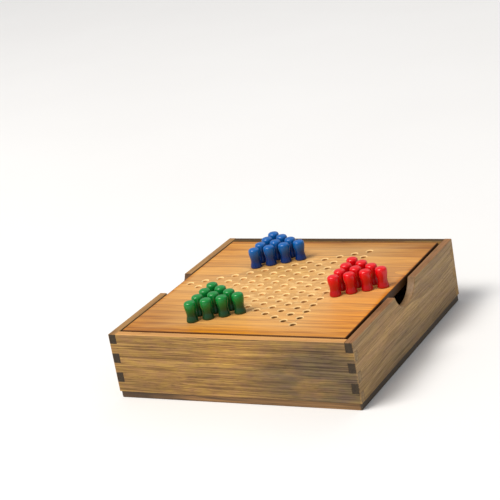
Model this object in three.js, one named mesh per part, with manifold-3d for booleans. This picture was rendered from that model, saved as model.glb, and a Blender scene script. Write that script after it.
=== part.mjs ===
// A square wooden Chinese checkers set: a finger-jointed box with a grip notch in two walls, a loose board with
// a six-pointed star of peg holes that drops in as the lid, and three colours of turned pegs in its points.
// Millimetres, +Z up, +X to the right, -Y to the front, origin at the centre of the underside.

import * as THREE from "three";
import { mergeVertices } from "three/addons/utils/BufferGeometryUtils.js";
import Module from "manifold-3d";

// Box
const boxSide = 230;
const boxHeight = 60;
const wallThickness = 7;
const bottomThickness = 6;
const bottomInset = 0.8;
const fingersPerCorner = 6;
const edgeEasing = 0.5;
const jointGap = 0.3;

// Round grip notch in the left and right walls: part of a circle centred above the rim
const gripRadius = 25;
const gripCentreAboveRim = 9.5;
const gripSegments = 64;

// Glue blocks that carry the board, one in each corner
const blockSide = 13;
const blockEasing = 1;

// Board
const boardSide = 212;
const boardThickness = 7.5;
const boardRecess = 0.2;
const boardPlace = { x: -0.8, y: 0.5 };

// Star of holes
const holePitch = 13.8;
const starArm = 4;
const holeRadius = 2.35;
const holeDepth = 5.8;
const countersinkRadius = 3.5;
const countersinkDepth = 0.7;
const holeSides = 8;

// Peg
const pegHeight = 18.4;
const pegRadius = 5.2;
const pegWaistRadius = 4.45;
const pegWaistHeight = 5.8;
const pegDomeHeight = 4.2;
const pegDomeFullness = 0.68;
const pinRadius = 2.1;
const pinLength = 5.2;
const pegSides = 12;

const outer = boxSide / 2;
const inner = outer - wallThickness;
const boardTop = boxHeight - boardRecess;
const boardBottom = boardTop - boardThickness;
const wallBottom = bottomThickness;
const wallHeight = boxHeight - wallBottom;

const wasm = await Module();
wasm.setup();

// ---------- solids and meshes ----------

function solidOf(geometry) {
  const plain = geometry.clone();
  plain.deleteAttribute("normal");
  plain.deleteAttribute("uv");
  const merged = mergeVertices(plain);
  return new wasm.Manifold(
    new wasm.Mesh({
      numProp: 3,
      vertProperties: new Float32Array(merged.attributes.position.array),
      triVerts: new Uint32Array(merged.index.array),
    }),
  );
}

function geometryOf(solid) {
  const mesh = solid.getMesh();
  const geometry = new THREE.BufferGeometry();
  geometry.setAttribute("position", new THREE.BufferAttribute(mesh.vertProperties, 3));
  geometry.setIndex(new THREE.BufferAttribute(mesh.triVerts, 1));
  return flatShaded(geometry);
}

function flatShaded(geometry) {
  const flat = geometry.index ? geometry.toNonIndexed() : geometry;
  flat.computeVertexNormals();
  return flat;
}

function box(lowX, highX, lowY, highY, lowZ, highZ) {
  const geometry = new THREE.BoxGeometry(highX - lowX, highY - lowY, highZ - lowZ);
  return geometry.translate((lowX + highX) / 2, (lowY + highY) / 2, (lowZ + highZ) / 2);
}

// A turned shape: points are [radius, height], from the bottom of the axis to its top, and the axis is Z.
function turned(points, sides) {
  const profile = points.map(([radius, height]) => new THREE.Vector2(radius, height));
  return new THREE.LatheGeometry(profile, sides).rotateX(Math.PI / 2);
}

// A flat panel with all its edges eased, its underside at height low.
function easedPanel(width, depth, thickness, low, easing) {
  const halfWidth = width / 2 - easing;
  const halfDepth = depth / 2 - easing;
  const outline = new THREE.Shape([
    new THREE.Vector2(-halfWidth, -halfDepth),
    new THREE.Vector2(halfWidth, -halfDepth),
    new THREE.Vector2(halfWidth, halfDepth),
    new THREE.Vector2(-halfWidth, halfDepth),
  ]);
  const geometry = new THREE.ExtrudeGeometry(outline, {
    depth: thickness - 2 * easing,
    bevelEnabled: true,
    bevelThickness: easing,
    bevelSize: easing,
    bevelSegments: 1,
  });
  return geometry.translate(0, 0, low + easing);
}

// ---------- materials ----------

function wood(colour) {
  return new THREE.MeshStandardMaterial({ color: colour, roughness: 0.5, metalness: 0 });
}

function gloss(colour) {
  return new THREE.MeshStandardMaterial({ color: colour, roughness: 0.2, metalness: 0 });
}

const wallWood = () => wood(0xa57d4b);
const sideWood = () => wood(0x967d5f);
const boardWood = () => wood(0xe1a560);
const panelWood = () => wood(0x8a6a45);

const group = new THREE.Group();

function addPart(name, geometry, material, parent = group) {
  const mesh = new THREE.Mesh(geometry, material);
  mesh.name = name;
  parent.add(mesh);
  return mesh;
}

// ---------- walls ----------

// The wall's section, eased along the two top edges, runs along X. Its outer face is towards -Y.
function wallStrip(length) {
  const section = new THREE.Shape([
    new THREE.Vector2(0, 0),
    new THREE.Vector2(wallThickness, 0),
    new THREE.Vector2(wallThickness, wallHeight - edgeEasing),
    new THREE.Vector2(wallThickness - edgeEasing, wallHeight),
    new THREE.Vector2(edgeEasing, wallHeight),
    new THREE.Vector2(0, wallHeight - edgeEasing),
  ]);
  const strip = new THREE.ExtrudeGeometry(section, { depth: length, bevelEnabled: false });
  strip.rotateX(Math.PI / 2).rotateZ(Math.PI / 2);
  return strip.translate(-length / 2, -outer, wallBottom);
}

// Fingers are counted down from the rim, starting at 0. A wall keeps every second one, and has sockets between
// them for the other wall's fingers, a little wider than those are.
function withFingers(strip, firstSocket) {
  const fingerHeight = wallHeight / fingersPerCorner;
  const pastEdge = 5;
  const root = outer - wallThickness - jointGap;
  let wall = solidOf(strip);
  for (let finger = firstSocket; finger < fingersPerCorner; finger += 2) {
    const isHighest = finger === 0;
    const isLowest = finger === fingersPerCorner - 1;
    const high = boxHeight - finger * fingerHeight + (isHighest ? pastEdge : jointGap / 2);
    const low = boxHeight - (finger + 1) * fingerHeight - (isLowest ? pastEdge : jointGap / 2);
    const rightSocket = box(root, outer + pastEdge, -outer - pastEdge, outer, low, high);
    const leftSocket = box(-outer - pastEdge, -root, -outer - pastEdge, outer, low, high);
    wall = wall.subtract(solidOf(rightSocket)).subtract(solidOf(leftSocket));
  }
  return wall;
}

function gripCutter() {
  const length = wallThickness * 3;
  const cutter = new THREE.CylinderGeometry(gripRadius, gripRadius, length, gripSegments);
  return solidOf(cutter.translate(0, -outer, boxHeight + gripCentreAboveRim));
}

const plainWall = withFingers(wallStrip(boxSide), 0);
const notchedWall = withFingers(wallStrip(boxSide), 1).subtract(gripCutter());

const walls = [
  { name: "front_wall", solid: plainWall, turn: 0, material: wallWood() },
  { name: "right_wall", solid: notchedWall, turn: 1, material: sideWood() },
  { name: "back_wall", solid: plainWall, turn: 2, material: wallWood() },
  { name: "left_wall", solid: notchedWall, turn: 3, material: sideWood() },
];
for (const wall of walls) {
  const mesh = addPart(wall.name, geometryOf(wall.solid), wall.material);
  mesh.rotation.z = (wall.turn * Math.PI) / 2;
}

// ---------- bottom panel and corner blocks ----------

const bottomSide = boxSide - 2 * bottomInset;
const bottomHeight = bottomThickness - jointGap;
const bottomPanel = flatShaded(easedPanel(bottomSide, bottomSide, bottomHeight, 0, edgeEasing));
addPart("bottom_panel", bottomPanel, panelWood());

const blockHeight = boardBottom - wallBottom - jointGap;
const blockCentre = inner - jointGap - blockSide / 2;
const blockCorners = [
  ["front_left", -1, -1],
  ["front_right", 1, -1],
  ["back_right", 1, 1],
  ["back_left", -1, 1],
];
for (const [corner, sideX, sideY] of blockCorners) {
  const block = flatShaded(easedPanel(blockSide, blockSide, blockHeight, wallBottom, blockEasing));
  const mesh = addPart("corner_block_" + corner, block, panelWood());
  mesh.position.set(sideX * blockCentre, sideY * blockCentre, 0);
}

// ---------- board with its star of holes ----------

// Steps a and b of the hexagonal lattice run 30 degrees above +X and along +Y, and c closes the sum to zero.
function starHoles() {
  const holes = [];
  for (let a = -2 * starArm; a <= 2 * starArm; a += 1) {
    for (let b = -2 * starArm; b <= 2 * starArm; b += 1) {
      const c = -a - b;
      const inOneTriangle = Math.max(a, b, c) <= starArm;
      const inTheOther = Math.min(a, b, c) >= -starArm;
      if (!inOneTriangle && !inTheOther) continue;
      const x = holePitch * a * Math.cos(Math.PI / 6);
      const y = holePitch * (a * Math.sin(Math.PI / 6) + b);
      holes.push({ a, b, c, x, y });
    }
  }
  return holes;
}

function holeCutter() {
  const above = 1;
  const flare = (countersinkRadius - holeRadius) * (above / countersinkDepth);
  const points = [
    [0, -holeDepth],
    [holeRadius, -holeDepth],
    [holeRadius, -countersinkDepth],
    [countersinkRadius + flare, above],
    [0, above],
  ];
  return turned(points, holeSides);
}

const boardGroup = new THREE.Group();
boardGroup.position.set(boardPlace.x, boardPlace.y, boardTop);
group.add(boardGroup);

const holes = starHoles();
let board = solidOf(easedPanel(boardSide, boardSide, boardThickness, -boardThickness, edgeEasing));
for (const hole of holes) {
  board = board.subtract(solidOf(holeCutter().translate(hole.x, hole.y, 0)));
}
addPart("board", geometryOf(board), boardWood(), boardGroup);

// ---------- pegs ----------

// From the end of the pin up: pin, flat shoulder, flared foot, low waist, full head and domed top.
function pegProfile() {
  const foot = jointGap;
  const shoulderEdge = 0.7;
  const headBase = pegHeight - pegDomeHeight;
  const points = [
    [0, -pinLength],
    [pinRadius, -pinLength],
    [pinRadius, foot],
    [pegRadius - shoulderEdge, foot],
    [pegRadius, foot + shoulderEdge],
    [pegWaistRadius, pegWaistHeight],
    [(pegWaistRadius + pegRadius) / 2, (pegWaistHeight + headBase) / 2],
    [pegRadius, headBase],
  ];
  const domeSteps = 4;
  for (let step = 1; step <= domeSteps; step += 1) {
    const angle = (step / domeSteps) * (Math.PI / 2);
    const radius = step === domeSteps ? 0 : pegRadius * Math.cos(angle) ** pegDomeFullness;
    points.push([radius, headBase + pegDomeHeight * Math.sin(angle) ** pegDomeFullness]);
  }
  return points;
}

// Each colour fills one point of the star, named by the lattice number that is past the star's arm there.
const pegSets = [
  { colour: "red", axis: "a", paint: 0xc8141e },
  { colour: "blue", axis: "b", paint: 0x1450aa },
  { colour: "green", axis: "c", paint: 0x146e32 },
];
for (const set of pegSets) {
  const point = holes.filter((hole) => hole[set.axis] > starArm);
  point.sort((first, second) => second[set.axis] - first[set.axis] || first.a - second.a || first.b - second.b);
  point.forEach((hole, index) => {
    const name = "peg_" + set.colour + "_" + String(index + 1).padStart(2, "0");
    const mesh = addPart(name, flatShaded(turned(pegProfile(), pegSides)), gloss(set.paint), boardGroup);
    mesh.position.set(hole.x, hole.y, 0);
  });
}

export default group;
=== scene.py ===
import math

import bmesh
import bpy
from mathutils import Matrix, Vector
from mathutils.geometry import delaunay_2d_cdt


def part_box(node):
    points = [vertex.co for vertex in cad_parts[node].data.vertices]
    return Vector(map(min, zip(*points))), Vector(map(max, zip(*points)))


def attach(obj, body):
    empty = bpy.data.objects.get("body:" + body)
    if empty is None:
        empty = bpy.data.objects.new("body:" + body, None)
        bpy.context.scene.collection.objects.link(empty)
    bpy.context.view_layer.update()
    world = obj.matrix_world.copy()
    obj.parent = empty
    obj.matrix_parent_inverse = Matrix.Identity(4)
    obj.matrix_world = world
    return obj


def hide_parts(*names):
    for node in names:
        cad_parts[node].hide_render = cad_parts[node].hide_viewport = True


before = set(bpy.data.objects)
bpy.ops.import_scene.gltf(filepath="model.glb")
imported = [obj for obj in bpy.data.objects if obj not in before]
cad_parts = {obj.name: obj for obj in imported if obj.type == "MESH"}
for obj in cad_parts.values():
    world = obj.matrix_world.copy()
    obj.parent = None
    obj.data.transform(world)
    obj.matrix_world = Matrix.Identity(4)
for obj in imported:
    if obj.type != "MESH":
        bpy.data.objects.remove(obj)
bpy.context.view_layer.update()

# A square wooden Chinese checkers set. Metres, in the frame's own axes.

MM = 0.001


def middle(node):
    low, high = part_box(node)
    return (low + high) / 2


# ---------- sizes ----------

front_low, front_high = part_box("front_wall")
OUTER = front_high.x
RIM = front_high.z
WALL_FOOT = front_low.z
WALL = front_high.y - front_low.y
FINGERS = 6
FINGER_HEIGHT = (RIM - WALL_FOOT) / FINGERS
JOINT_LINE = 0.07 * MM
TINY = 0.01 * MM

GRIP_RADIUS = 25 * MM
GRIP_ABOVE_RIM = 9.5 * MM
GRIP_STEPS = 40

RIM_ROUNDING = 0.7 * MM
CUT_ROUNDING = 0.18 * MM
PANEL_CORNER = 1.2 * MM
PANEL_ROUNDING = 0.56 * MM
BLOCK_CORNER = 1.0 * MM
BLOCK_ROUNDING = 0.6 * MM
CORNER_STEPS = 5
ROUNDING_STEPS = 3

board_low, board_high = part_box("board")
BOARD_MIDDLE = (board_low + board_high) / 2
BOARD_HALF = (board_high.x - board_low.x) / 2
BOARD_TOP = board_high.z
FACE_MIDDLE = Vector((BOARD_MIDDLE.x, BOARD_MIDDLE.y, BOARD_TOP))
BOARD_BOTTOM = board_low.z
BOARD_CORNER = 1.6 * MM
BOARD_ROUNDING = 0.7 * MM
BOARD_ROUNDING_STEPS = 4

# The star's rows of holes run along Y, a row spacing apart. An arm is four holes long.
PITCH = (middle("peg_red_02") - middle("peg_red_03")).length
ROW_SPACING = PITCH * math.cos(math.pi / 6)
STAR_ARM = 4
HOLE_SIDES = 32
# (radius, depth) in millimetres, down from the rounded lip over the countersink and bore to its drilled end.
HOLE_PROFILE = [
    (3.68, 0.0), (3.52, 0.03), (3.34, 0.12), (2.52, 0.61), (2.39, 0.74),
    (2.35, 0.95), (2.35, 2.6), (2.35, 5.15), (0.9, 5.62),
]
HOLE_TIP = 5.8
# How pale a hole's lip is coloured, partly bare wood and partly painted highlight, and the depth in
# millimetres over which that grows by 1.
LIP_PALENESS = 0.3
PALING_DEPTH = 0.1
# How deep the bore's colour starts, painted light in the star's middle, and how much deeper it is full.
BORE_TONE_START = 0.3
BORE_TONE_DEPTH = 0.5
MERGE_DISTANCE = 1e-7

# A peg's sizes are in millimetres, with heights above the board's face. The pin's neck is just below it.
peg_low, peg_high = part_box("peg_red_01")
PEG_SIDES = 48
PEG_RADIUS = (peg_high.x - peg_low.x) / 2 / MM
PEG_HEIGHT = (peg_high.z - BOARD_TOP) / MM
PEG_WAIST = PEG_RADIUS - 1.0
PEG_WAIST_HEIGHT = 6.4
PEG_DOME = 4.2
PEG_DOME_FULLNESS = 0.56
PEG_SHOULDER = 0.8
PEG_FOOT = 0.06
PIN_RADIUS = 2.1
PIN_EDGE = 0.3
PIN_NECK = -1.0
PIN_CLEARANCE = 0.1
PIN_LENGTH = (BOARD_TOP - peg_low.z) / MM - PIN_CLEARANCE
PEGS_PER_COLOUR = 10
SHOULDER_STEPS = 5
FLARE_STEPS = 9
HEAD_STEPS = 12
DOME_STEPS = 12


# ---------- mesh building ----------


def add_ring(mesh, points):
    return [mesh.verts.new(point) for point in points]


def join_rings(mesh, first, second):
    """A band of four-sided faces between two rings that run the same way round."""
    count = len(first)
    for i in range(count):
        j = (i + 1) % count
        mesh.faces.new((first[i], first[j], second[j], second[i]))


def circle(centre, radius, height, sides):
    turns = [2 * math.pi * i / sides for i in range(sides)]
    return [(centre.x + radius * math.cos(t), centre.y + radius * math.sin(t), height) for t in turns]


def rounded_square(centre, half, radius, height):
    """Points round a square with round corners, anticlockwise from its right side."""
    points = []
    reach = half - radius
    for corner, (side_x, side_y) in enumerate([(1, 1), (-1, 1), (-1, -1), (1, -1)]):
        for step in range(CORNER_STEPS + 1):
            turn = (corner + step / CORNER_STEPS) * math.pi / 2
            x = centre.x + side_x * reach + radius * math.cos(turn)
            y = centre.y + side_y * reach + radius * math.sin(turn)
            points.append((x, y, height))
    return points


def finish_piece(name, mesh, material, body, replaced):
    """Turns a mesh into a named piece that stands for its CAD node and moves with its body."""
    bmesh.ops.recalc_face_normals(mesh, faces=mesh.faces)
    data = bpy.data.meshes.new(name)
    mesh.to_mesh(data)
    mesh.free()
    data.shade_smooth()
    data.materials.append(material)
    piece = bpy.data.objects.new(name, data)
    bpy.context.scene.collection.objects.link(piece)
    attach(piece, body)
    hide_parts(replaced)
    return piece


def round_edges(piece, width):
    """Rounds the edges by their bevel weights, times the width."""
    bevel = piece.modifiers.new("rounding", "BEVEL")
    bevel.width = width
    bevel.segments = ROUNDING_STEPS
    bevel.limit_method = "WEIGHT"
    bevel.use_clamp_overlap = False
    keep_faces_flat(piece)


def keep_faces_flat(piece):
    weighted = piece.modifiers.new("flat_faces", "WEIGHTED_NORMAL")
    weighted.mode = "FACE_AREA"
    weighted.weight = 100


# ---------- walls ----------


def wall_side(first_finger):
    """One end of a wall from its foot to the rim, as (reach, height): a finger or a socket at each step."""
    points = []
    for finger in reversed(range(FINGERS)):
        is_kept = finger % 2 == first_finger
        reach = OUTER if is_kept else OUTER - WALL - JOINT_LINE
        shrink = JOINT_LINE / 2 if is_kept else -JOINT_LINE / 2
        low = WALL_FOOT if finger == FINGERS - 1 else RIM - (finger + 1) * FINGER_HEIGHT + shrink
        high = RIM if finger == 0 else RIM - finger * FINGER_HEIGHT - shrink
        points += [(reach, low), (reach, high)]
    return points


def grip_arc():
    """The notch's arc, from its right end at the rim to its left end."""
    half_angle = math.acos(GRIP_ABOVE_RIM / GRIP_RADIUS)
    turns = [half_angle * (1 - 2 * step / GRIP_STEPS) for step in range(GRIP_STEPS + 1)]
    centre = RIM + GRIP_ABOVE_RIM
    return [(GRIP_RADIUS * math.sin(t), centre - GRIP_RADIUS * math.cos(t)) for t in turns]


def wall_edge_weight(edge):
    """Rim and notch edges are worn round, cut edges at the joints are nearly sharp."""
    nearly_sharp = CUT_ROUNDING / RIM_ROUNDING
    start, end = (vert.co for vert in edge.verts)
    crosses_the_wall = abs(start.y - end.y) > WALL / 2
    if crosses_the_wall:
        in_the_arc = abs(start.x) < GRIP_RADIUS and start.z < RIM - TINY
        return 0 if in_the_arc else nearly_sharp
    on_the_rim = min(start.z, end.z) > RIM - TINY
    round_the_notch = max(abs(start.x), abs(end.x)) < GRIP_RADIUS and start.z > WALL_FOOT + WALL
    return 1 if on_the_rim or round_the_notch else nearly_sharp


def wall_mesh(first_finger, is_notched, quarter_turns):
    """A wall with its outer face towards -Y, turned by quarters into its place."""
    right = wall_side(first_finger)
    left = [(-reach, height) for reach, height in reversed(right)]
    outline = right + (grip_arc() if is_notched else []) + left
    mesh = bmesh.new()
    outer_ring = add_ring(mesh, [(along, -OUTER, height) for along, height in outline])
    inner_ring = add_ring(mesh, [(along, -OUTER + WALL, height) for along, height in outline])
    join_rings(mesh, outer_ring, inner_ring)
    mesh.faces.new(outer_ring)
    mesh.faces.new(inner_ring)
    weights = mesh.edges.layers.float.new("bevel_weight_edge")
    for edge in mesh.edges:
        edge[weights] = wall_edge_weight(edge)
    mesh.transform(Matrix.Rotation(quarter_turns * math.pi / 2, 4, "Z"))
    return mesh


def make_walls():
    walls = [
        ("front_wall", 1, False, "front_and_back_wall_wood"),
        ("right_wall", 0, True, "side_wall_wood"),
        ("back_wall", 1, False, "front_and_back_wall_wood"),
        ("left_wall", 0, True, "side_wall_wood"),
    ]
    for quarter_turns, (node, first_finger, is_notched, slot) in enumerate(walls):
        mesh = wall_mesh(first_finger, is_notched, quarter_turns)
        piece = finish_piece(node + "_wood", mesh, plank_wood(node), "box", node)
        round_edges(piece, RIM_ROUNDING)


# ---------- bottom panel and corner blocks ----------


def slab_mesh(low, high, corner):
    """A square block between two corners, its upright edges rounded in plan."""
    centre = (low + high) / 2
    half = (high.x - low.x) / 2
    mesh = bmesh.new()
    lower = add_ring(mesh, rounded_square(centre, half, corner, low.z))
    upper = add_ring(mesh, rounded_square(centre, half, corner, high.z))
    join_rings(mesh, lower, upper)
    faces = [mesh.faces.new(lower), mesh.faces.new(upper)]
    weights = mesh.edges.layers.float.new("bevel_weight_edge")
    for face in faces:
        for edge in face.edges:
            edge[weights] = 1
    return mesh


def make_bottom(material):
    node = "bottom_panel"
    low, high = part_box(node)
    high.z = WALL_FOOT - JOINT_LINE
    mesh = slab_mesh(low, high, PANEL_CORNER)
    piece = finish_piece("bottom_panel_ply", mesh, material, "box", node)
    round_edges(piece, PANEL_ROUNDING)


def make_blocks(material):
    for corner in ("front_left", "front_right", "back_right", "back_left"):
        node = "corner_block_" + corner
        low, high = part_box(node)
        mesh = slab_mesh(low, high, BLOCK_CORNER)
        piece = finish_piece(node + "_wood", mesh, material, "box", node)
        round_edges(piece, BLOCK_ROUNDING)


# ---------- board ----------


def star_holes():
    """Hole centres. Steps a and b run 30 degrees above +X and along +Y, and c closes the sum to zero."""
    holes = []
    for a in range(-2 * STAR_ARM, 2 * STAR_ARM + 1):
        for b in range(-2 * STAR_ARM, 2 * STAR_ARM + 1):
            c = -a - b
            if max(a, b, c) <= STAR_ARM or min(a, b, c) >= -STAR_ARM:
                x = BOARD_MIDDLE.x + a * ROW_SPACING
                y = BOARD_MIDDLE.y + PITCH * (a / 2 + b)
                holes.append(Vector((x, y)))
    return holes


def board_edge_profile():
    """(inset, height) pairs round the board's edge, from its face over two roundings to its underside."""
    curve = []
    for step in range(BOARD_ROUNDING_STEPS + 1):
        turn = step / BOARD_ROUNDING_STEPS * math.pi / 2
        inset = BOARD_ROUNDING * (1 - math.sin(turn))
        drop = BOARD_ROUNDING * (1 - math.cos(turn))
        curve.append((inset, drop))
    upper = [(inset, BOARD_TOP - drop) for inset, drop in curve]
    lower = [(inset, BOARD_BOTTOM + drop) for inset, drop in reversed(curve)]
    return upper + lower


def fill_face(mesh, outline, mouths):
    """Flat faces between the board's outline and the mouths of its holes."""
    rings = [outline] + mouths
    verts = [vert for ring in rings for vert in ring]
    owners = [number for number, ring in enumerate(rings) for vert in ring]
    edges = []
    for ring in rings:
        start = len(edges)
        edges += [(start + i, start + (i + 1) % len(ring)) for i in range(len(ring))]
    flat = [Vector((vert.co.x, vert.co.y)) for vert in verts]
    whole_hull = 0
    made = delaunay_2d_cdt(flat, edges, [], whole_hull, MERGE_DISTANCE, True)
    faces, sources = made[2], made[3]
    for face in faces:
        corners = [sources[i][0] for i in face]
        spans_one_mouth = len({owners[i] for i in corners}) == 1 and owners[corners[0]] > 0
        if not spans_one_mouth:
            mesh.faces.new([verts[i] for i in corners])


def drill(mesh, lip_paleness, drilled, centre):
    """A countersunk blind hole. Returns the ring of its mouth."""
    rings = []
    for radius, depth in HOLE_PROFILE:
        ring = add_ring(mesh, circle(centre, radius * MM, BOARD_TOP - depth * MM, HOLE_SIDES))
        for vert in ring:
            vert[lip_paleness] = min(1, LIP_PALENESS + depth / PALING_DEPTH)
            vert[drilled] = min(1, max(0, depth - BORE_TONE_START) / BORE_TONE_DEPTH)
        rings.append(ring)
    for above, below in zip(rings, rings[1:]):
        join_rings(mesh, above, below)
    tip = mesh.verts.new((centre.x, centre.y, BOARD_TOP - HOLE_TIP * MM))
    tip[lip_paleness] = 1
    tip[drilled] = 1
    deepest = rings[-1]
    for i in range(HOLE_SIDES):
        mesh.faces.new((deepest[i], deepest[(i + 1) % HOLE_SIDES], tip))
    return rings[0]


def make_board(material):
    mesh = bmesh.new()
    lip_paleness = mesh.verts.layers.float.new("lip_paleness")
    drilled = mesh.verts.layers.float.new("drilled")
    rings = []
    for inset, height in board_edge_profile():
        points = rounded_square(BOARD_MIDDLE, BOARD_HALF - inset, BOARD_CORNER - inset, height)
        rings.append(add_ring(mesh, points))
    for upper, lower in zip(rings, rings[1:]):
        join_rings(mesh, upper, lower)
    mesh.faces.new(rings[-1])
    mouths = [drill(mesh, lip_paleness, drilled, centre) for centre in star_holes()]
    fill_face(mesh, rings[0], mouths)
    piece = finish_piece("board_wood", mesh, material, "board", "board")
    keep_faces_flat(piece)


# ---------- pegs ----------


def waist_curve(start, steps):
    """Points of a soft S from a full-width height to the waist, without its two ends."""
    points = []
    for step in range(1, steps):
        share = step / steps
        swell = (1 + math.cos(math.pi * share)) / 2
        radius = PEG_WAIST + (PEG_RADIUS - PEG_WAIST) * swell
        points.append((radius, start + (PEG_WAIST_HEIGHT - start) * share))
    return points


def peg_profile():
    """(radius, height) pairs from the pin's end up over the foot, waist and head to the dome's top."""
    points = [(0, -PIN_LENGTH), (PIN_RADIUS - PIN_EDGE, -PIN_LENGTH), (PIN_RADIUS, -PIN_LENGTH + PIN_EDGE)]
    points += [(PIN_RADIUS, PIN_NECK), (PIN_RADIUS, PEG_FOOT)]
    for step in range(SHOULDER_STEPS + 1):
        turn = step / SHOULDER_STEPS * math.pi / 2
        radius = PEG_RADIUS - PEG_SHOULDER * (1 - math.sin(turn))
        points.append((radius, PEG_FOOT + PEG_SHOULDER * (1 - math.cos(turn))))
    head_base = PEG_HEIGHT - PEG_DOME
    points += waist_curve(PEG_FOOT + PEG_SHOULDER, FLARE_STEPS)
    points += reversed(waist_curve(head_base, HEAD_STEPS))
    for step in range(DOME_STEPS):
        turn = step / DOME_STEPS * math.pi / 2
        radius = PEG_RADIUS * math.cos(turn) ** PEG_DOME_FULLNESS
        points.append((radius, head_base + PEG_DOME * math.sin(turn) ** PEG_DOME_FULLNESS))
    points.append((0, PEG_HEIGHT))
    return points


def peg_mesh(centre):
    mesh = bmesh.new()
    profile = peg_profile()
    lowest = mesh.verts.new((centre.x, centre.y, BOARD_TOP + profile[0][1] * MM))
    highest = mesh.verts.new((centre.x, centre.y, BOARD_TOP + profile[-1][1] * MM))
    rings = []
    for radius, height in profile[1:-1]:
        rings.append(add_ring(mesh, circle(centre, radius * MM, BOARD_TOP + height * MM, PEG_SIDES)))
    for lower, upper in zip(rings, rings[1:]):
        join_rings(mesh, lower, upper)
    for i in range(PEG_SIDES):
        j = (i + 1) % PEG_SIDES
        mesh.faces.new((lowest, rings[0][j], rings[0][i]))
        mesh.faces.new((highest, rings[-1][i], rings[-1][j]))
    return mesh


def make_pegs(colour, material):
    for number in range(1, PEGS_PER_COLOUR + 1):
        node = f"peg_{colour}_{number:02d}"
        finish_piece(node + "_turned", peg_mesh(middle(node)), material, node, node)


# ---------- material nodes ----------


def paint(red, green, blue):
    """A colour given as 0 to 255 on screen, as the shader's linear colour."""
    linear = []
    for value in (red, green, blue):
        share = value / 255
        linear.append(share / 12.92 if share <= 0.04045 else ((share + 0.055) / 1.055) ** 2.4)
    return (*linear, 1)


def grey(value):
    return (value, value, value, 1)


# At this scale a wave texture has one band in each unit of length.
ONE_BAND = 2 * math.pi / 20


class Nodes:
    """A material's node tree, with a short method for each kind of node used here."""

    def __init__(self, name):
        self.material = bpy.data.materials.new(name)
        self.material.use_nodes = True
        self.tree = self.material.node_tree
        self.shader = self.tree.nodes["Principled BSDF"]
        self.place = self.add("TexCoord").outputs["Object"]

    def feed(self, socket, value):
        """Links a node's output to the socket, or sets the socket's own value."""
        if isinstance(value, bpy.types.NodeSocket):
            self.tree.links.new(value, socket)
        else:
            socket.default_value = value

    def add(self, kind, settings=None, inputs=None):
        node = self.tree.nodes.new("ShaderNode" + kind)
        for name, value in (settings or {}).items():
            setattr(node, name, value)
        for name, value in (inputs or {}).items():
            self.feed(node.inputs[name], value)
        return node

    def math(self, operation, first, second=0.0, third=0.0, clamp=False):
        settings = {"operation": operation, "use_clamp": clamp}
        return self.add("Math", settings, {0: first, 1: second, 2: third}).outputs[0]

    def times(self, first, second):
        return self.math("MULTIPLY", first, second)

    def scaled(self, vector, factors):
        return self.add("VectorMath", {"operation": "MULTIPLY"}, {0: vector, 1: factors}).outputs[0]

    def shifted(self, vector, offset):
        return self.add("VectorMath", {"operation": "ADD"}, {0: vector, 1: offset}).outputs[0]

    def length(self, vector):
        return self.add("VectorMath", {"operation": "LENGTH"}, {0: vector}).outputs["Value"]

    def axis(self, vector, name):
        return self.add("SeparateXYZ", {}, {0: vector}).outputs[name]

    def noise(self, vector, scale, detail=2.0, roughness=0.5):
        inputs = {"Vector": vector, "Scale": scale, "Detail": detail, "Roughness": roughness}
        return self.add("TexNoise", {}, inputs).outputs["Fac"]

    def rings(self, vector, around, period, wander, wander_scale):
        """Growth rings: bands round an axis, one band each period, pushed about by noise."""
        settings = {"wave_type": "RINGS", "rings_direction": around, "wave_profile": "SAW"}
        inputs = {"Vector": vector, "Scale": ONE_BAND / period, "Distortion": wander, "Detail": 2.0}
        inputs |= {"Detail Scale": wander_scale, "Detail Roughness": 0.55}
        return self.add("TexWave", settings, inputs).outputs["Fac"]

    def spread(self, value, low, high, to_low=0.0, to_high=1.0):
        """Maps low..high to to_low..to_high, softly, and clamps outside."""
        inputs = {"Value": value, "From Min": low, "From Max": high, "To Min": to_low, "To Max": to_high}
        return self.add("MapRange", {"interpolation_type": "SMOOTHSTEP"}, inputs).outputs[0]

    def mix(self, factor, first, second, blend="MIX"):
        """Mixes two colours, which are the node's inputs 6 and 7 and its output 2."""
        settings = {"data_type": "RGBA", "blend_type": blend, "clamp_factor": True}
        node = self.add("Mix", settings)
        self.feed(node.inputs[0], factor)
        self.feed(node.inputs[6], first)
        self.feed(node.inputs[7], second)
        return node.outputs[2]

    def tinted(self, colour, tint):
        return self.mix(1.0, colour, tint, "MULTIPLY")

    def ramp(self, value, stops):
        node = self.add("ValToRGB", {}, {0: value})
        elements = node.color_ramp.elements
        while len(elements) < len(stops):
            elements.new(0.5)
        for element, (position, colour) in zip(elements, stops):
            element.position = position
            element.color = colour
        return node.outputs["Color"]

    def attribute(self, name):
        return self.add("Attribute", {"attribute_name": name}).outputs["Fac"]

    def end_grain(self, along):
        """1 on faces cut across the grain, 0 on faces along it."""
        normal = self.add("TexCoord").outputs["Normal"]
        facing = self.math("ABSOLUTE", self.axis(normal, "XYZ"[along]))
        return self.spread(facing, 0.55, 0.85)

    def spot(self, centre, radii):
        """1 at a centre, falling softly to 0 at these distances from it along the axes."""
        away = self.shifted(self.place, [-value for value in centre])
        return self.spread(self.length(self.scaled(away, [1 / value for value in radii])), 1.0, 0.25)

    def bump(self, height, distance, strength):
        inputs = {"Height": height, "Distance": distance, "Strength": strength}
        return self.add("Bump", {}, inputs).outputs["Normal"]

    def set_surface(self, colour, roughness, normal):
        self.feed(self.shader.inputs["Base Color"], colour)
        self.feed(self.shader.inputs["Roughness"], roughness)
        self.feed(self.shader.inputs["Normal"], normal)

    def set_gloss(self, specular, coat, coat_roughness):
        self.shader.inputs["Specular IOR Level"].default_value = specular
        self.shader.inputs["Coat Weight"].default_value = coat
        self.shader.inputs["Coat Roughness"].default_value = coat_roughness


# ---------- wood ----------


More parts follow.
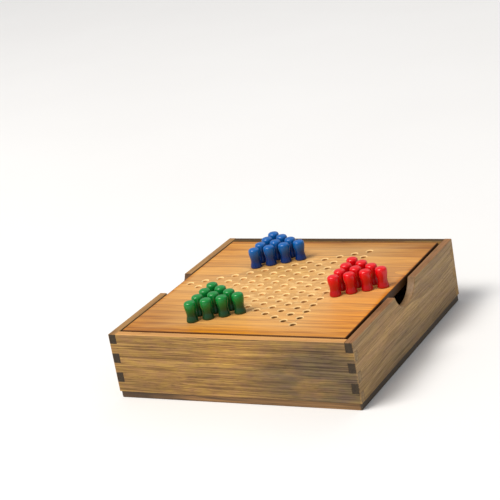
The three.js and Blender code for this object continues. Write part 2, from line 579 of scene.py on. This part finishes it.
def drawn_out(along, share):
    """Factors that draw a pattern out along the grain."""
    return [share if axis == along else 1 for axis in range(3)]


def grain_layers(nodes, along, pith, ring_period):
    """The layers every wood here is made of: growth rings, streaks, thin lines, fibres and pores."""
    wave = nodes.noise(nodes.scaled(nodes.place, drawn_out(along, 0.3)), 20, 1.0)
    lift = nodes.times(nodes.math("SUBTRACT", wave, 0.5), 7 * MM)
    drift = nodes.add("CombineXYZ", {}, {name: lift for axis, name in enumerate("XYZ") if axis != along})
    place = nodes.shifted(nodes.place, drift.outputs[0])
    ring_place = nodes.shifted(nodes.scaled(place, drawn_out(along, 0.13)), [-value for value in pith])
    return {
        "rings": nodes.rings(ring_place, "XYZ"[along], ring_period, wander=7.0, wander_scale=0.3),
        "streaks": nodes.noise(nodes.scaled(place, drawn_out(along, 0.02)), 640, 4.0, 0.64),
        "lines": nodes.noise(nodes.scaled(place, drawn_out(along, 0.014)), 1250, 2.0, 0.5),
        "fibres": nodes.noise(nodes.scaled(place, drawn_out(along, 0.022)), 1500, 3.0, 0.6),
        "pores": nodes.noise(nodes.scaled(place, drawn_out(along, 0.06)), 2100, 1.0, 0.5),
    }


def figure_of(nodes, layers, ring_share):
    """Rings and streaks together, spread over 0 to 1."""
    rings = nodes.times(layers["rings"], ring_share)
    figure = nodes.math("MULTIPLY_ADD", layers["streaks"], 1 - ring_share, rings)
    # Streaks alone stay near the middle of 0 to 1, and rings widen their range.
    reach = 0.3 * (1 + ring_share) / 1.3
    return nodes.spread(figure, 0.5 - reach, 0.5 + reach)


def fibre_roughness(nodes, layers, dull, shiny):
    return nodes.spread(layers["fibres"], 0.3, 0.7, dull, shiny)


def fibre_relief(nodes, layers, pore_share):
    """Raised fibres with sunken pores."""
    return nodes.math("SUBTRACT", layers["fibres"], nodes.times(pore_share, 0.9))


def tone_patches(nodes, colour, patches, cover):
    """Tints the colour in each patch: (centre, reach along each axis, tint that multiplies, strength)."""
    for centre, radii, tint, strength in patches:
        share = nodes.times(nodes.times(nodes.spot(centre, radii), cover), strength)
        colour = nodes.mix(share, colour, nodes.tinted(colour, tint))
    return colour


# ---------- the walls' planks ----------


def plank_patchiness(nodes, look, scale):
    """Soft noise, a little drawn out along the grain, different on each wall."""
    place = nodes.shifted(nodes.scaled(nodes.place, drawn_out(look["along"], 0.4)), look["seed"])
    return nodes.noise(place, scale, detail=3.0, roughness=0.6)


def plank_figure(nodes, look, layers):
    """The grain's figure, with thin dark and pale lines."""
    figure = figure_of(nodes, layers, look["ring_share"])
    colour = nodes.ramp(figure, [(0.0, look["dark"]), (0.5, look["middle"]), (1.0, look["light"])])
    dark_lines = nodes.spread(layers["lines"], 0.5, 0.62, 0.0, look["line_share"])
    colour = nodes.mix(dark_lines, colour, look["line"])
    pale_lines = nodes.spread(layers["lines"], 0.48, 0.36, 0.0, look["line_share"])
    return nodes.mix(pale_lines, colour, look["light"])


def plank_stains(nodes, look, smudges, colour):
    """Large patches, smudges, and a tinge that drifts between greyish violet and olive yellow."""
    cover = nodes.spread(smudges, 0.3, 0.55, 0.5, 1.0)
    colour = tone_patches(nodes, colour, look["patches"], cover)
    smudge_share = nodes.spread(smudges, 0.54, 0.68, 0.0, look["smudge_share"])
    colour = nodes.mix(smudge_share, colour, nodes.tinted(colour, look["smudge"]))
    tinge = plank_patchiness(nodes, look, 190)
    tinge_shade = nodes.ramp(tinge, [(0.36, (0.9, 0.84, 1.0, 1)), (0.62, (1.06, 1.1, 0.8, 1))])
    return nodes.mix(look["tinge_share"], colour, tinge_shade, "MULTIPLY")


def plank_end(nodes, look, layers):
    """Mottled end grain."""
    colour = nodes.mix(layers["fibres"], nodes.tinted(look["end"], grey(0.6)), look["end"])
    mottle = nodes.noise(nodes.place, 330, detail=3.0, roughness=0.6)
    mottle_shade = nodes.ramp(mottle, [(0.35, (0.6, 0.6, 0.66, 1)), (0.65, (1.35, 1.4, 1.25, 1))])
    return nodes.tinted(colour, mottle_shade)


def plank_rim(nodes, look, layers, smudges):
    """The rim's colour, streaked and darker in patches; on the back wall the rim colour is nearly black as
    painted shade.
    """
    streak_shade = nodes.ramp(layers["streaks"], [(0.3, (0.62, 0.58, 0.52, 1)), (0.7, grey(1.2))])
    colour = nodes.mix(0.8, look["rim"], streak_shade, "MULTIPLY")
    # The rim is darker in patches.
    darker_patch_share = nodes.spread(smudges, 0.5, 0.64, 0.0, 0.65)
    return nodes.mix(darker_patch_share, colour, nodes.tinted(colour, (0.5, 0.42, 0.34, 1)))


def rubbed_edges(nodes, width):
    """1 along the box's outer edges, where handling has rubbed the finish lighter."""
    near = []
    for name in "XY":
        reach = nodes.math("ABSOLUTE", nodes.axis(nodes.place, name))
        near.append(nodes.spread(reach, OUTER - width, OUTER - 0.25 * width))
    near.append(nodes.spread(nodes.axis(nodes.place, "Z"), RIM - width, RIM - 0.25 * width))
    total = nodes.math("ADD", nodes.math("ADD", near[0], near[1]), near[2])
    return nodes.math("SUBTRACT", total, 1.0, clamp=True)


def grip_cut(nodes):
    """1 on the sawn surface of the grip notches."""
    away = nodes.scaled(nodes.shifted(nodes.place, (0, 0, -RIM - GRIP_ABOVE_RIM)), (0, 1, 1))
    return nodes.spread(nodes.length(away), GRIP_RADIUS + 0.5 * MM, GRIP_RADIUS + 0.1 * MM)


def plank_wood(node):
    """Oiled, streaky plank wood with dark pores, patches of other tones, and its own end grain and rim."""
    look = WALL_LOOKS[node]
    along = look["along"]
    nodes = Nodes(node + "_wood")
    layers = grain_layers(nodes, along, look["pith"], ring_period=5.2 * MM)
    smudges = plank_patchiness(nodes, look, 55)
    colour = plank_stains(nodes, look, smudges, plank_figure(nodes, look, layers))
    fibre_shade = nodes.ramp(layers["fibres"], [(0.25, (0.6, 0.58, 0.56, 1)), (0.7, grey(1.15))])
    colour = nodes.mix(look["fibre_share"], colour, fibre_shade, "MULTIPLY")
    pore_share = nodes.spread(layers["pores"], 0.64, 0.74, 0.0, 0.6)
    colour = nodes.mix(pore_share, colour, look["pore"])
    end_share = nodes.times(nodes.end_grain(along), look["end_share"])
    colour = nodes.mix(end_share, colour, plank_end(nodes, look, layers))
    worn_share = nodes.times(rubbed_edges(nodes, 0.9 * MM), nodes.spread(layers["streaks"], 0.35, 0.6))
    colour = nodes.mix(nodes.times(worn_share, 0.35), colour, look["worn"])
    rim_share = nodes.spread(nodes.axis(nodes.place, "Z"), RIM - 0.5 * MM, RIM - 0.12 * MM, 0.0, 0.8)
    colour = nodes.mix(rim_share, colour, plank_rim(nodes, look, layers, smudges))
    if "cut" in look:
        cut_colour = nodes.mix(layers["streaks"], *look["cut"])
        colour = nodes.mix(nodes.times(grip_cut(nodes), 0.9), colour, cut_colour)
    relief = nodes.bump(fibre_relief(nodes, layers, pore_share), distance=0.16 * MM, strength=0.55)
    nodes.set_surface(colour, fibre_roughness(nodes, layers, dull=0.62, shiny=0.45), relief)
    nodes.set_gloss(look["specular"], coat=0.03, coat_roughness=0.35)
    return nodes.material


# Each wall's own plank.
FRONT_LOOK = {
    "along": 0,
    "pith": (0, -0.06, 0.02),
    "ring_share": 0.2,
    "seed": (0.31, 0.12, 0.05),
    "dark": paint(126, 92, 52),
    "middle": paint(164, 124, 70),
    "light": paint(192, 150, 88),
    "smudge": (0.68, 0.68, 0.8, 1),
    "smudge_share": 0.5,
    "line": paint(84, 58, 32),
    "line_share": 0.5,
    "tinge_share": 0.75,
    "fibre_share": 0.7,
    "pore": paint(66, 42, 20),
    "end": paint(184, 148, 102),
    "end_share": 0.6,
    "worn": paint(216, 166, 100),
    "rim": paint(214, 156, 90),
    "specular": 0.25,
    "patches": [
        ((0.085, -OUTER, 0.024), (0.1, 1, 0.06), (0.42, 0.5, 0.82, 1), 1.0),
        ((0.01, -OUTER, 0.046), (0.06, 1, 0.018), (1.35, 1.3, 1.1, 1), 1.0),
        ((-0.1, -OUTER, 0.012), (0.06, 1, 0.012), (0.72, 0.72, 0.74, 1), 0.8),
    ],
}
BACK_LOOK = FRONT_LOOK | {
    "pith": (0, 0.07, 0.03),
    "seed": (0.6, 0.3, 0.4),
    # Nearly black rim: painted shade for the shadowed back rim and the gap behind the board.
    "rim": paint(40, 22, 8),
    "specular": 0.1,
    "patches": [((-0.06, OUTER, 0.03), (0.08, 1, 0.05), (0.62, 0.64, 0.8, 1), 0.9)],
}
SIDE_LOOK = {
    "along": 1,
    "pith": (0.05, 0, 0.01),
    "ring_share": 0.2,
    "seed": (0.72, 0.4, 0.2),
    "dark": paint(138, 108, 68),
    "middle": paint(164, 130, 84),
    "light": paint(184, 150, 102),
    "smudge": (0.8, 0.8, 0.86, 1),
    "smudge_share": 0.5,
    "line": paint(96, 74, 48),
    "line_share": 0.3,
    "tinge_share": 0.4,
    "fibre_share": 0.5,
    "pore": paint(78, 56, 34),
    "end": paint(54, 42, 30),
    "end_share": 0.95,
    "worn": paint(196, 152, 98),
    "rim": paint(138, 92, 54),
    "cut": (paint(100, 74, 48), paint(164, 130, 92)),
    "specular": 0.25,
    "patches": [
        ((OUTER, -0.02, 0.02), (1, 0.06, 0.02), (0.86, 0.88, 0.96, 1), 0.8),
        # Painted shade: a band along the right wall's foot, darker towards the bottom.
        ((OUTER, 0.03, 0.006), (1, 0.2, 0.016), (0.66, 0.7, 0.78, 1), 0.8),
        ((OUTER, -0.05, 0.042), (1, 0.1, 0.02), (1.3, 1.24, 1.14, 1), 0.9),
    ],
}
LEFT_LOOK = SIDE_LOOK | {
    "pith": (-0.06, 0, 0.02),
    "seed": (0.1, 0.8, 0.5),
    "rim": paint(164, 120, 68),
    "cut": (paint(60, 38, 18), paint(118, 82, 48)),
    "patches": [((-OUTER, 0.03, 0.03), (1, 0.07, 0.04), (0.7, 0.72, 0.86, 1), 0.8)],
}
WALL_LOOKS = {
    "front_wall": FRONT_LOOK,
    "right_wall": SIDE_LOOK,
    "back_wall": BACK_LOOK,
    "left_wall": LEFT_LOOK,
}


# ---------- the board's wood ----------

# Grey-brown at the front left, yellow by the red pegs, dark along the back, yellow in front of the green
# pegs (two patches), and ochre in front of the blue pegs.
BOARD_PATCHES = [
    ((-0.1, -0.09, BOARD_TOP), (0.1, 0.06, 1), (0.72, 0.66, 0.6, 1), 1.0),
    ((0.1, -0.03, BOARD_TOP), (0.07, 0.09, 1), (1.14, 0.92, 0.1, 1), 1.0),
    ((0.06, 0.105, BOARD_TOP), (0.12, 0.05, 1), (0.56, 0.52, 0.46, 1), 1.0),
    ((-0.018, -0.096, BOARD_TOP), (0.075, 0.045, 1), (1.05, 0.95, 0.01, 1), 1.0),
    ((-0.018, -0.096, BOARD_TOP), (0.05, 0.022, 1), (1.04, 1, 0.05, 1), 0.7),
    ((-0.02, 0.036, BOARD_TOP), (0.06, 0.035, 1), (0.84, 0.78, 0.42, 1), 0.9),
]


def star_lines(nodes):
    """1 on the thin burnt lines that join the holes along the sides of the star's two big triangles."""
    across = STAR_ARM * ROW_SPACING
    half_length = 1.5 * STAR_ARM * PITCH
    half_width = 0.5 * MM
    place = nodes.shifted(nodes.place, [-BOARD_MIDDLE.x, -BOARD_MIDDLE.y, 0])
    lines = 0.0
    for turn in (0, math.pi / 3, 2 * math.pi / 3):
        turned = nodes.add("VectorRotate", {"rotation_type": "Z_AXIS"}, {"Vector": place, "Angle": turn})
        away = nodes.math("ABSOLUTE", nodes.axis(turned.outputs[0], "X"))
        off_line = nodes.math("ABSOLUTE", nodes.math("SUBTRACT", away, across))
        on_line = nodes.spread(off_line, half_width, 0.6 * half_width)
        from_middle = nodes.math("ABSOLUTE", nodes.axis(turned.outputs[0], "Y"))
        line = nodes.times(on_line, nodes.spread(from_middle, half_length + MM, half_length))
        lines = nodes.math("MAXIMUM", line, lines)
    is_face = nodes.spread(nodes.axis(nodes.place, "Z"), BOARD_TOP - 0.1 * MM, BOARD_TOP - 0.02 * MM)
    return nodes.times(lines, is_face)


def board_figure(nodes, layers):
    """Honey-coloured wood with a soft arched figure and thin dark lines."""
    stops = [(0.0, paint(144, 80, 24)), (0.5, paint(200, 131, 47)), (1.0, paint(222, 156, 66))]
    colour = nodes.ramp(figure_of(nodes, layers, 0.2), stops)
    line_share = nodes.spread(layers["lines"], 0.53, 0.65, 0.0, 0.45)
    return nodes.mix(line_share, colour, paint(146, 82, 28))


def board_wear(nodes, along, from_middle, colour):
    """Paler and blotchy round the star, where play has worn the varnish, with patches of other tones."""
    unevenness = nodes.noise(nodes.scaled(nodes.place, drawn_out(along, 0.5)), 30, 3.0, 0.55)
    distance = nodes.math("MULTIPLY_ADD", unevenness, 0.04, nodes.length(from_middle))
    pale_share = nodes.spread(distance, 0.105, 0.05, 0.0, 0.4)
    colour = nodes.mix(pale_share, colour, paint(196, 147, 80))
    blotches = nodes.noise(nodes.scaled(nodes.place, drawn_out(along, 0.6)), 210, 3.0, 0.6)
    light_share = nodes.times(nodes.spread(blotches, 0.5, 0.6), nodes.times(pale_share, 1.6))
    colour = nodes.mix(light_share, colour, paint(232, 188, 122))
    darker_patch_share = nodes.times(nodes.spread(blotches, 0.48, 0.38), nodes.times(pale_share, 1.2))
    colour = nodes.mix(darker_patch_share, colour, paint(170, 116, 54))
    return tone_patches(nodes, colour, BOARD_PATCHES, nodes.spread(unevenness, 0.3, 0.6, 0.5, 1.0))


def board_edges_and_gap_shade(nodes, along, from_middle, colour):
    """A dark line round the face, painted shade for the gap beside the walls, and dark end grain, partly the
    wood's own tone and partly painted shade for that gap.
    """
    reach = [nodes.math("ABSOLUTE", nodes.axis(from_middle, name)) for name in "XY"]
    furthest = nodes.math("MAXIMUM", *reach)
    # Painted shade: a dark line along the face's edge, where the gap beside the walls falls dark.
    gap_shade_share = nodes.spread(furthest, BOARD_HALF - 1.2 * MM, BOARD_HALF - 0.4 * MM)
    colour = nodes.mix(nodes.times(gap_shade_share, 0.9), colour, paint(78, 38, 12))
    # End grain darkened partly as the wood's own tone and partly as painted shade for the gap beside the
    # walls.
    return nodes.mix(nodes.times(nodes.end_grain(along), 0.93), colour, paint(64, 40, 18))


def board_holes(nodes, layers, colour):
    """Pale lips and countersinks, partly bare wood and partly painted highlight, with bores painted lighter
    in the star's middle as painted light, and darker at its front point.
    """
    # Pale lips and countersinks: partly bare wood, partly a painted highlight on the countersinks.
    lip_share = nodes.times(nodes.attribute("lip_paleness"), nodes.spread(layers["streaks"], 0.2, 0.6, 0.6, 1.0))
    colour = nodes.mix(lip_share, colour, paint(248, 210, 146))
    # Painted light: the bores are coloured pale round the star's middle, as if lit inside.
    lit_bore_middle = FACE_MIDDLE - Vector((2.5 * PITCH, 0, 0))
    bore_light_share = nodes.spot(lit_bore_middle, (8 * PITCH, 5.5 * PITCH, 1))
    bore_colour = nodes.mix(bore_light_share, paint(172, 116, 58), paint(236, 190, 122))
    # The bores are darker round the star's front point.
    front_point = FACE_MIDDLE + Vector((STAR_ARM * ROW_SPACING, -1.5 * STAR_ARM * PITCH, 0))
    front_point_share = nodes.spot(front_point, (4 * PITCH, 4 * PITCH, 1))
    bore_colour = nodes.mix(front_point_share, bore_colour, paint(136, 90, 38))
    return nodes.mix(nodes.times(nodes.attribute("drilled"), 0.92), colour, bore_colour)


def board_wood():
    """Varnished board with worn, blotchy wood round the star, burnt lines and drilled holes."""
    nodes = Nodes("board_wood")
    along = 0
    layers = grain_layers(nodes, along, pith=(0, 26 * MM, -0.07), ring_period=7.5 * MM)
    from_middle = nodes.shifted(nodes.place, [-value for value in FACE_MIDDLE])
    colour = board_wear(nodes, along, from_middle, board_figure(nodes, layers))
    fibre_shade = nodes.ramp(layers["fibres"], [(0.3, (0.8, 0.76, 0.7, 1)), (0.7, grey(1.08))])
    colour = nodes.mix(0.7, colour, fibre_shade, "MULTIPLY")
    pore_share = nodes.spread(layers["pores"], 0.68, 0.78, 0.0, 0.4)
    colour = nodes.mix(pore_share, colour, paint(120, 66, 20))
    colour = board_edges_and_gap_shade(nodes, along, from_middle, colour)
    colour = nodes.mix(nodes.times(star_lines(nodes), 0.8), colour, paint(112, 78, 34))
    colour = board_holes(nodes, layers, colour)
    relief = nodes.bump(fibre_relief(nodes, layers, pore_share), distance=0.1 * MM, strength=0.4)
    nodes.set_surface(colour, fibre_roughness(nodes, layers, dull=0.52, shiny=0.38), relief)
    nodes.set_gloss(specular=0.14, coat=0.05, coat_roughness=0.3)
    return nodes.material


# ---------- other materials ----------


def panel_wood():
    """Plywood with streaky faces and faint layers in its edge, dark at the left, and dark on the right side,
    partly the ply's own tone and partly painted shade.
    """
    nodes = Nodes("bottom_panel_wood")
    layers = grain_layers(nodes, along=0, pith=(0, 0, -0.09), ring_period=6 * MM)
    across = nodes.axis(nodes.place, "X")
    colour = nodes.ramp(layers["streaks"], [(0.35, paint(92, 66, 38)), (0.65, paint(166, 122, 70))])
    wavy = nodes.noise(nodes.place, 60, 2.0)
    layer_place = nodes.math("MULTIPLY_ADD", wavy, 0.4 * MM, nodes.axis(nodes.place, "Z"))
    ply = nodes.math("PINGPONG", layer_place, 1.3 * MM)
    layer_share = nodes.spread(ply, 0.35 * MM, 0.9 * MM, 0.0, 0.15)
    layer_colour = nodes.mix(layers["fibres"], paint(62, 40, 22), paint(96, 62, 34))
    colour = nodes.mix(layer_share, colour, layer_colour)
    rightness = nodes.math("MULTIPLY_ADD", wavy, 60 * MM, across)
    colour = nodes.mix(nodes.spread(rightness, 0, -60 * MM, 0.0, 0.8), colour, paint(58, 42, 28))
    # Partly the ply's own dark edge and partly painted shade: the panel darkens along its right side.
    right_edge_shade_share = nodes.spread(across, OUTER - 3 * MM, OUTER - 1 * MM, 0.0, 0.85)
    colour = nodes.mix(right_edge_shade_share, colour, paint(56, 50, 38))
    fibre_shade = nodes.ramp(layers["fibres"], [(0.3, grey(0.7)), (0.7, grey(1))])
    colour = nodes.mix(0.6, colour, fibre_shade, "MULTIPLY")
    relief = nodes.bump(layers["fibres"], distance=0.15 * MM, strength=0.5)
    nodes.set_surface(colour, fibre_roughness(nodes, layers, dull=0.72, shiny=0.55), relief)
    return nodes.material


def block_wood():
    """Plain pale softwood, its grain upright."""
    nodes = Nodes("corner_block_wood")
    layers = grain_layers(nodes, along=2, pith=(0.03, 0.02, 0), ring_period=2.6 * MM)
    figure = figure_of(nodes, layers, 0.6)
    colour = nodes.ramp(figure, [(0.1, paint(168, 118, 64)), (0.9, paint(206, 160, 98))])
    fibre_shade = nodes.ramp(layers["fibres"], [(0.3, grey(0.8)), (0.7, grey(1))])
    colour = nodes.mix(0.4, colour, fibre_shade, "MULTIPLY")
    relief = nodes.bump(layers["fibres"], distance=0.12 * MM, strength=0.5)
    nodes.set_surface(colour, fibre_roughness(nodes, layers, dull=0.75, shiny=0.6), relief)
    return nodes.material


def peg_lacquer(name, shade_colour, lit_colour):
    """Glossy lacquer over turned wood, faintly mottled, with turning rings; painted shade makes it deeper
    towards the foot.
    """
    nodes = Nodes(name)
    mottle = nodes.noise(nodes.place, 150, 3.0, 0.5)
    height = nodes.math("MULTIPLY_ADD", mottle, 2 * MM, nodes.axis(nodes.place, "Z"))
    # Painted shade: one paint, shown as the shade colour low on the peg and the lit colour on its head, as
    # if lit from above.
    colour = nodes.mix(nodes.spread(height, BOARD_TOP + 6 * MM, BOARD_TOP + 17 * MM), shade_colour, lit_colour)
    turning = nodes.noise(nodes.scaled(nodes.place, (0.05, 0.05, 1)), 1500, 1.0)
    relief = nodes.bump(nodes.math("MULTIPLY_ADD", mottle, 1.5, turning), distance=0.05 * MM, strength=0.3)
    nodes.set_surface(colour, nodes.spread(mottle, 0.3, 0.7, 0.3, 0.4), relief)
    nodes.set_gloss(specular=0.3, coat=0.32, coat_roughness=0.17)
    return nodes.material


def floor_paint():
    nodes = Nodes("floor_paint")
    colour = nodes.mix(nodes.noise(nodes.place, 3, 2.0), (0.8, 0.79, 0.775, 1), (0.84, 0.835, 0.82, 1))
    nodes.feed(nodes.shader.inputs["Base Color"], colour)
    nodes.shader.inputs["Roughness"].default_value = 0.75
    return nodes.material


# ---------- camera, light and floor ----------

CAMERA_AZIMUTH = math.radians(30.05)
CAMERA_ELEVATION = math.radians(18.85)
CAMERA_ROLL = math.radians(-10.24)
# The camera's distance and target are given in lengths of the box's side.
BOX_SIDE = 2 * OUTER
CAMERA_DISTANCE = 6.27 * BOX_SIDE
CAMERA_TARGET = Vector((-0.1224, 0, 0.4047)) * BOX_SIDE
CAMERA_LENS = 117.5
CAMERA_SENSOR = 36
CAMERA_CLIP_END = 50

LIGHT_TARGET = Vector((0, 0, 0.03))
FLOOR_RADIUS = 12
FLOOR_SIDES = 64
FLOOR_GAP = 0.05 * MM


def make_camera():
    flat = math.cos(CAMERA_ELEVATION)
    back_x = math.sin(CAMERA_AZIMUTH) * flat
    back_y = -math.cos(CAMERA_AZIMUTH) * flat
    back = Vector((back_x, back_y, math.sin(CAMERA_ELEVATION)))
    data = bpy.data.cameras.new("camera")
    data.lens = CAMERA_LENS
    data.sensor_width = CAMERA_SENSOR
    data.clip_end = CAMERA_CLIP_END
    camera = bpy.data.objects.new("camera", data)
    camera.location = CAMERA_TARGET + back * CAMERA_DISTANCE
    level = (-back).to_track_quat("-Z", "Y").to_matrix()
    camera.rotation_euler = (level @ Matrix.Rotation(CAMERA_ROLL, 3, "Z")).to_euler()
    bpy.context.scene.collection.objects.link(camera)
    bpy.context.scene.camera = camera


def add_softbox(name, place, size, power, tint):
    """A square soft light that faces the set."""
    data = bpy.data.lights.new(name, "AREA")
    data.shape = "SQUARE"
    data.size = size
    data.energy = power
    data.color = tint
    light = bpy.data.objects.new(name, data)
    light.location = place
    light.rotation_euler = (LIGHT_TARGET - Vector(place)).to_track_quat("-Z", "Y").to_euler()
    bpy.context.scene.collection.objects.link(light)


def make_light():
    add_softbox("key_light", place=(-1.4, -1.9, 4.0), size=2.2, power=225, tint=(1, 0.97, 0.93))
    add_softbox("back_light", place=(0.5, 3.8, 3.2), size=3.0, power=20, tint=(1, 0.98, 0.95))
    world = bpy.data.worlds.new("studio")
    world.use_nodes = True
    background = world.node_tree.nodes["Background"]
    background.inputs["Color"].default_value = (0.93, 0.95, 1, 1)
    background.inputs["Strength"].default_value = 0.45
    bpy.context.scene.world = world
    bpy.context.scene.view_settings.view_transform = "Standard"


def make_floor():
    mesh = bmesh.new()
    bmesh.ops.create_circle(mesh, cap_ends=True, radius=FLOOR_RADIUS, segments=FLOOR_SIDES)
    data = bpy.data.meshes.new("floor")
    mesh.to_mesh(data)
    mesh.free()
    data.materials.append(floor_paint())
    floor = bpy.data.objects.new("floor", data)
    floor.location.z = -FLOOR_GAP
    bpy.context.scene.collection.objects.link(floor)


# ---------- the scene ----------

make_camera()
make_light()
make_floor()
make_walls()
make_bottom(panel_wood())
make_blocks(block_wood())
make_board(board_wood())
make_pegs("red", peg_lacquer("peg_red", shade_colour=paint(178, 0, 4), lit_colour=paint(222, 0, 12)))
make_pegs("blue", peg_lacquer("peg_blue", shade_colour=paint(0, 42, 108), lit_colour=paint(0, 92, 166)))
make_pegs("green", peg_lacquer("peg_green", shade_colour=paint(18, 66, 32), lit_colour=paint(4, 128, 50)))
